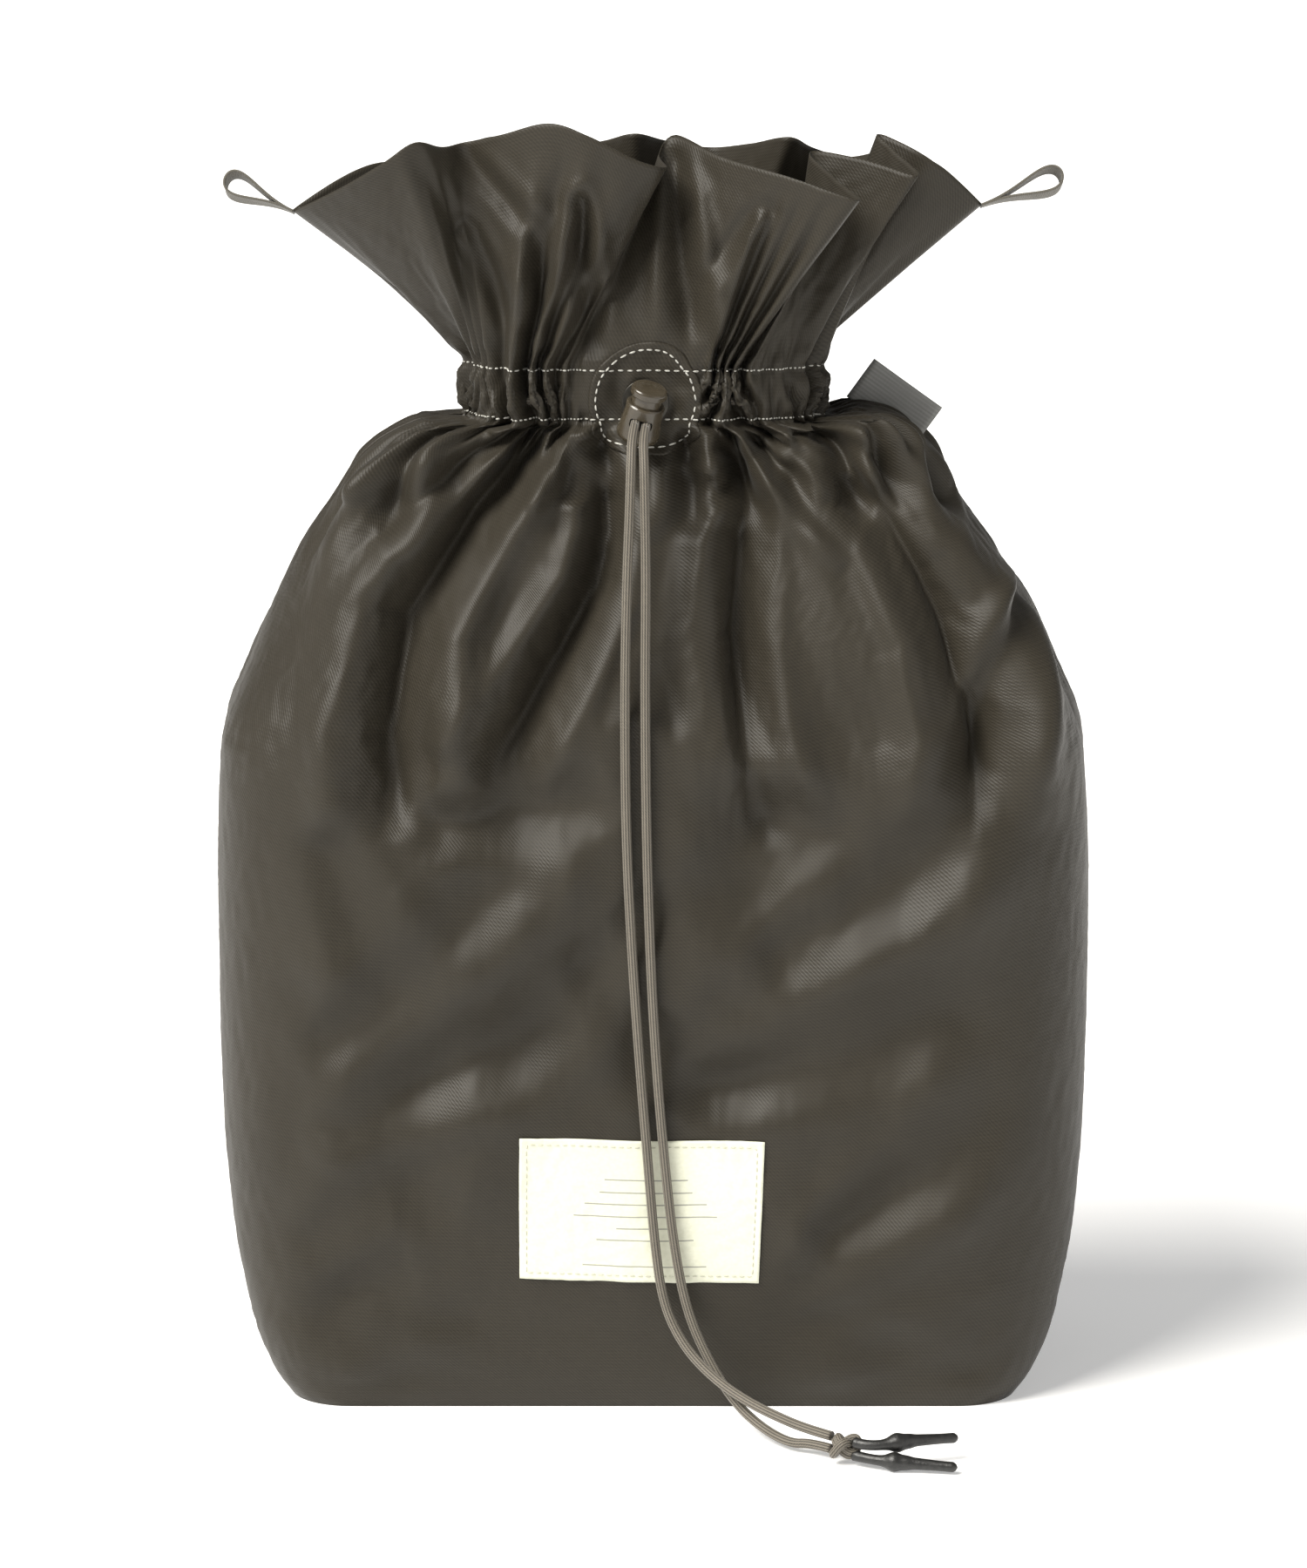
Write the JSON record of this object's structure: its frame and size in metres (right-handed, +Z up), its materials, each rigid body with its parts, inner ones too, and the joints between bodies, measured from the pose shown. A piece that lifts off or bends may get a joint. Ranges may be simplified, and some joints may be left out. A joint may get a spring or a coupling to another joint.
{
  "type": "shoe bag",
  "caption": "Boxed drawstring shoe bag with a gathered neck, flared mouth, sprung cord lock, hanging elastic drawcord tails, side loops and a blank label.",
  "frame": {"origin": "centre of the base's underside, on the surface the bag stands on", "axes": "+Z up along the bag's height, the front with the label and the drawcord faces -Y, +X to the viewer's right"},
  "size_m": [0.281, 0.1924, 0.411],
  "materials": {
    "nylon_cloth": "grey-olive nylon twill, soft satin sheen",
    "binding_tape": "ribbed seam tape, grey-olive",
    "stitch_thread": "pale grey polyester thread",
    "label_cloth": "smooth cream satin",
    "woven_tab": "mid grey woven tape",
    "webbing": "ribbed flat webbing, grey-olive",
    "eyelet_metal": "dark lacquered eyelet",
    "lock_plastic": "translucent olive-brown moulded plastic",
    "spring_steel": "plain spring wire",
    "elastic_cord": "ribbed taupe elastic cord",
    "tip_rubber": "satin black rubber"
  },
  "bodies": {
    "bag": {"front_panel": "nylon_cloth", "back_panel": "nylon_cloth", "base_panel": "nylon_cloth", "casing_front": "nylon_cloth", "casing_back": "nylon_cloth", "seam_binding_left": "binding_tape", "seam_binding_right": "binding_tape", "eyelet_patch": "nylon_cloth", "patch_stitch": "stitch_thread", "casing_stitch_upper": "stitch_thread", "casing_stitch_lower": "stitch_thread", "label_patch": "label_cloth", "label_stitch": "stitch_thread", "side_tab": "woven_tab", "hang_loop_left": "webbing", "hang_loop_right": "webbing", "eyelet_barrel": "eyelet_metal", "eyelet_washer": "eyelet_metal", "drawcord_ring": "elastic_cord", "drawcord_tail_left": "elastic_cord", "drawcord_tail_right": "elastic_cord", "cord_knot": "elastic_cord", "cord_tip_left": "tip_rubber", "cord_tip_right": "tip_rubber"},
    "lock_body": {"lock_barrel": "lock_plastic", "lock_spring": "spring_steel"},
    "plunger": {"lock_plunger": "lock_plastic"}
  },
  "joints": [
    {"name": "lock_slide", "type": "hinge", "parent": "bag", "child": "lock_body", "pos_m": [-0.00233, -0.02674, 0.28942], "axis": [0.9957, -0.0927, 0.0083], "range_deg": [0, 66], "deforming": ["drawcord_tail_left", "drawcord_tail_right", "drawcord_ring"]},
    {"name": "plunger_press", "type": "slide", "parent": "lock_body", "child": "plunger", "axis": [-0.2419, 0.3319, -0.9118], "range_m": [0, 0.003], "stiffness_N_per_m": 400, "springref_m": -0.003, "deforming": ["lock_spring"]}
  ]
}
